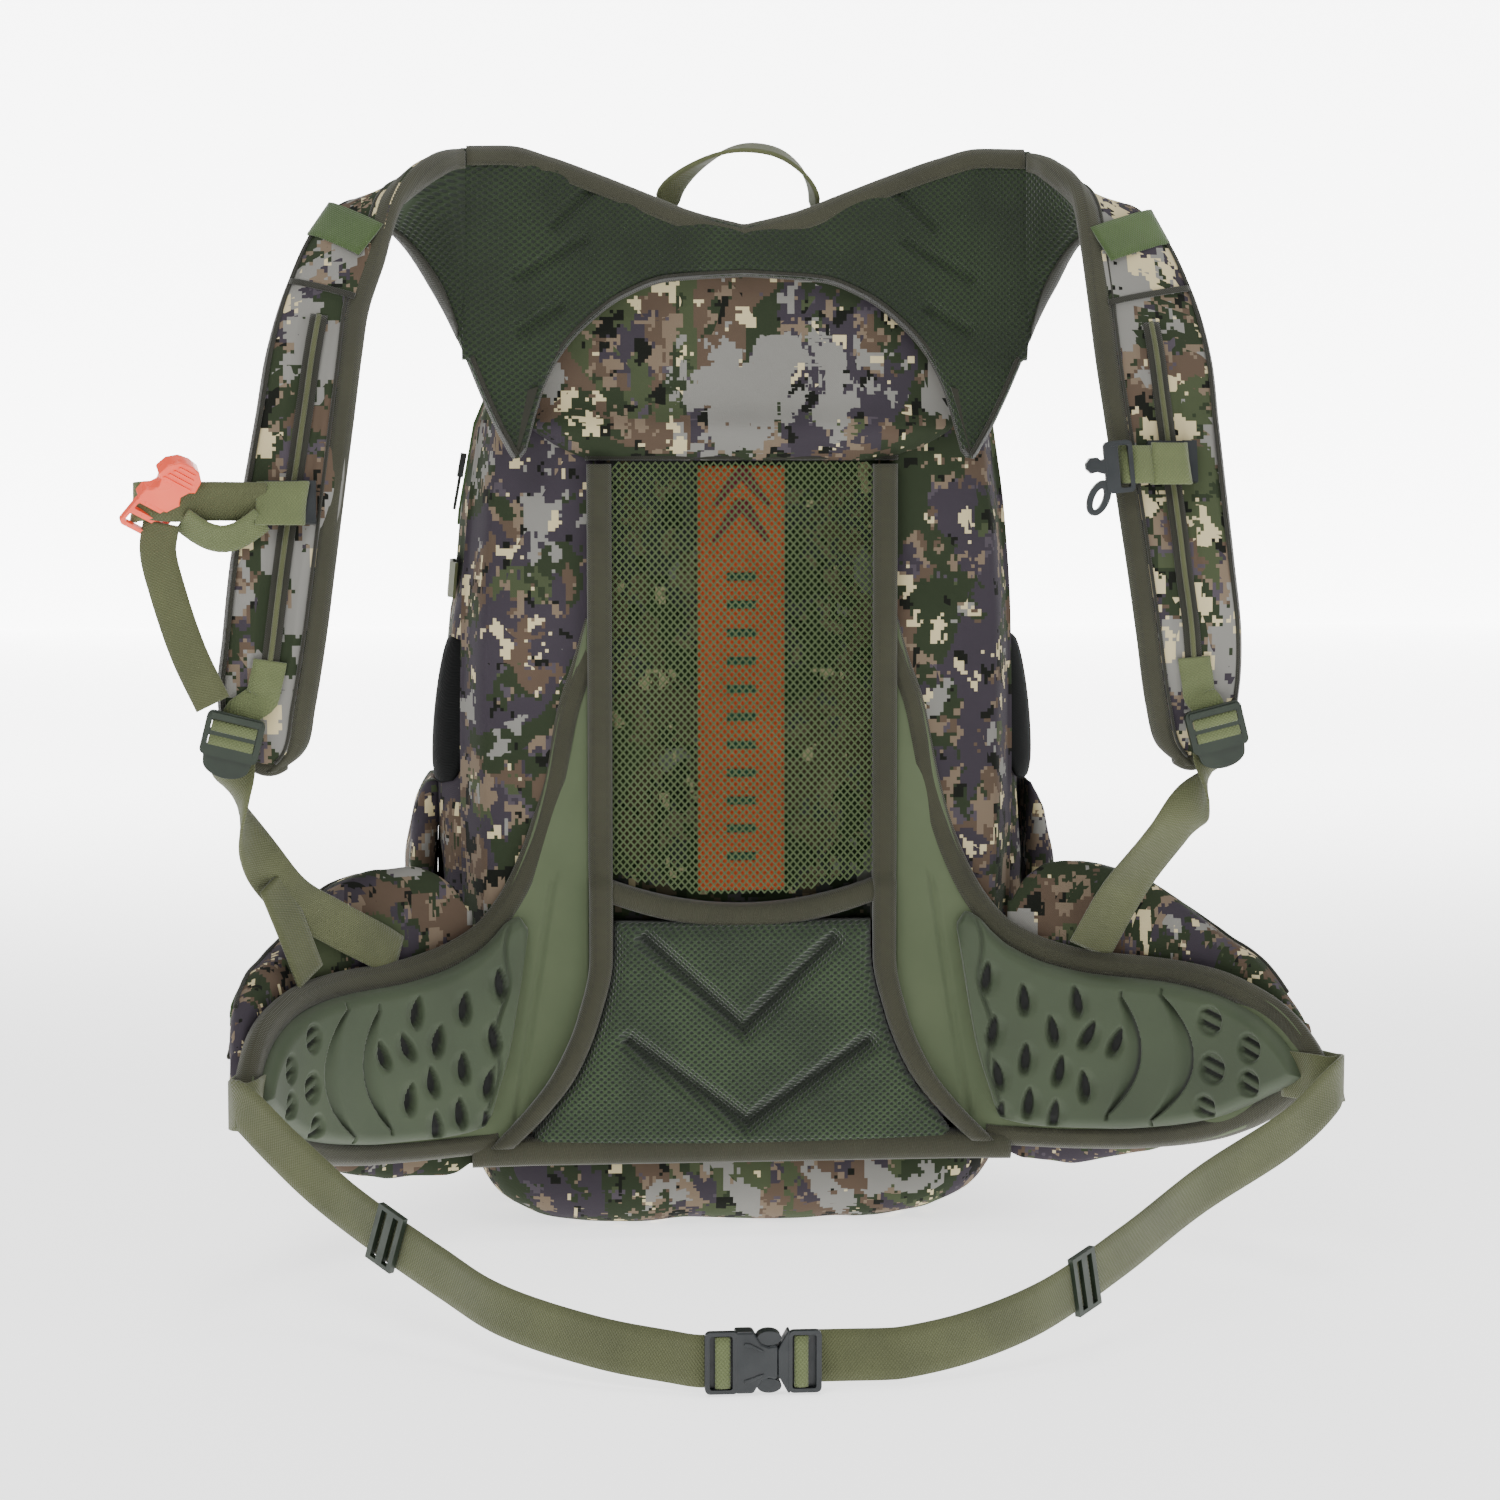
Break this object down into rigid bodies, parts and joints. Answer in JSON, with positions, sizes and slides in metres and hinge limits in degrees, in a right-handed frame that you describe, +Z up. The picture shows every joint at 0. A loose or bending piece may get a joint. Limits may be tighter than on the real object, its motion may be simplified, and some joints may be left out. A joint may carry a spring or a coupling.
{
  "type": "hunting backpack",
  "caption": "Camouflage hunting day pack with a vented net back, padded shoulder harness, moulded hip wings with pockets and a buckled waist belt.",
  "frame": {"origin": "centre of the flat base of the bottom compartment", "axes": "+Z up, -Y towards the wearer's side (harness), +X to the right when looking at the harness"},
  "size_m": [0.6311, 0.5745, 0.6009],
  "materials": {
    "camo_fabric": "woven polyester, printed",
    "frame_sheet": "sheet polyethylene",
    "stay_metal": "mill",
    "vent_fabric": "plain weave",
    "green_mesh": "open spacer mesh",
    "binding_tape": "woven tape",
    "stretch_fabric": "knitted",
    "moulded_foam": "moulded, matt",
    "olive_webbing": "woven webbing",
    "buckle_plastic": "moulded acetal",
    "signal_plastic": "moulded acetal",
    "zip_tape": "woven tape with moulded teeth"
  },
  "bodies": {
    "pack": {"bag_bottom": "camo_fabric", "bag_main": "camo_fabric", "bag_front_compartment": "camo_fabric", "bag_front_pocket": "camo_fabric", "frame_sheet": "frame_sheet", "stay_left": "stay_metal", "stay_right": "stay_metal", "back_panel": "camo_fabric", "vent_strip": "vent_fabric", "mesh_net": "green_mesh", "net_binding": "binding_tape", "hood_panel": "camo_fabric", "column_left": "camo_fabric", "column_right": "camo_fabric", "side_pocket_left": "camo_fabric", "side_pocket_right": "camo_fabric", "stretch_panel_left": "stretch_fabric", "stretch_panel_right": "stretch_fabric", "lumbar_pad": "green_mesh", "hip_wing_left": "camo_fabric", "hip_wing_right": "camo_fabric", "hip_pad_left": "moulded_foam", "hip_pad_right": "moulded_foam", "hip_pocket_left": "camo_fabric", "hip_pocket_right": "camo_fabric", "yoke": "green_mesh", "shoulder_strap_left": "camo_fabric", "shoulder_strap_right": "camo_fabric", "strap_band_left": "olive_webbing", "strap_band_right": "olive_webbing", "strap_tab_left": "olive_webbing", "strap_tab_right": "olive_webbing", "lower_strap_left": "olive_webbing", "lower_strap_right": "olive_webbing", "belt_webbing_left": "olive_webbing", "belt_webbing_right": "olive_webbing", "belt_buckle_female": "buckle_plastic", "main_zip": "zip_tape", "compression_strap_left": "olive_webbing", "compression_strap_right": "olive_webbing", "front_zip": "zip_tape"},
    "handle": {"top_handle": "olive_webbing"},
    "sternum_set_left": {"sternum_slider_left": "buckle_plastic", "sternum_web_left": "olive_webbing", "sternum_buckle_female": "signal_plastic", "sternum_tail_left": "olive_webbing"},
    "sternum_set_right": {"sternum_slider_right": "buckle_plastic", "sternum_web_right": "olive_webbing", "sternum_buckle_male": "buckle_plastic"},
    "lock_left": {"ladder_lock_left": "buckle_plastic"},
    "lock_right": {"ladder_lock_right": "buckle_plastic"},
    "belt_male": {"belt_buckle_male": "buckle_plastic"},
    "prong_upper": {"buckle_prong_upper": "buckle_plastic"},
    "prong_lower": {"buckle_prong_lower": "buckle_plastic"},
    "triglide_left": {"belt_triglide_left": "buckle_plastic"},
    "triglide_right": {"belt_triglide_right": "buckle_plastic"},
    "zip_slider_left": {"main_zip_slider_left": "buckle_plastic"},
    "zip_slider_right": {"main_zip_slider_right": "buckle_plastic"},
    "zip_slider_front": {"front_zip_slider": "buckle_plastic"}
  },
  "joints": [
    {"name": "handle_swing", "type": "hinge", "parent": "pack", "child": "handle", "pos_m": [0, -0.099, 0.566], "axis": [1, 0, 0], "range_deg": [-70, 20]},
    {"name": "sternum_height_left", "type": "slide", "parent": "pack", "child": "sternum_set_left", "axis": [-0.1467, -0.2122, -0.9661], "range_m": [-0.03, 0.025]},
    {"name": "sternum_height_right", "type": "slide", "parent": "pack", "child": "sternum_set_right", "axis": [0.0965, -0.2159, -0.9716], "range_m": [-0.03, 0.025]},
    {"name": "ladder_lock_tilt_left", "type": "hinge", "parent": "pack", "child": "lock_left", "pos_m": [-0.2691, -0.2385, 0.3016], "axis": [0.9578, 0, -0.2873], "range_deg": [-30, 0]},
    {"name": "ladder_lock_tilt_right", "type": "hinge", "parent": "pack", "child": "lock_right", "pos_m": [0.2331, -0.2385, 0.3026], "axis": [0.9578, 0, 0.2873], "range_deg": [-30, 0]},
    {"name": "belt_buckle_release", "type": "slide", "parent": "pack", "child": "belt_male", "axis": [1, 0, 0], "range_m": [0, 0.03]},
    {"name": "prong_press_upper", "type": "hinge", "parent": "belt_male", "child": "prong_upper", "pos_m": [-0.01, -0.442, 0.0224], "axis": [0, -1, 0], "range_deg": [0, 10], "stiffness_Nm_per_rad": 0.3},
    {"name": "prong_press_lower", "type": "hinge", "parent": "belt_male", "child": "prong_lower", "pos_m": [-0.01, -0.442, 0.0084], "axis": [0, 1, 0], "range_deg": [0, 10], "stiffness_Nm_per_rad": 0.3},
    {"name": "triglide_slide_left", "type": "slide", "parent": "pack", "child": "triglide_left", "axis": [0.6637, -0.6637, -0.3451], "range_m": [-0.02, 0.02]},
    {"name": "triglide_slide_right", "type": "slide", "parent": "pack", "child": "triglide_right", "axis": [-0.7096, -0.667, -0.2271], "range_m": [-0.02, 0.02]},
    {"name": "main_zip_left", "type": "slide", "parent": "pack", "child": "zip_slider_left", "axis": [0.1772, 0, 0.9842], "range_m": [-0.014, 0.017]},
    {"name": "main_zip_right", "type": "slide", "parent": "pack", "child": "zip_slider_right", "axis": [-0.1772, 0, 0.9842], "range_m": [-0.014, 0.017]},
    {"name": "front_zip_slide", "type": "slide", "parent": "pack", "child": "zip_slider_front", "axis": [1, 0, 0], "range_m": [-0.14, 0.01]}
  ]
}
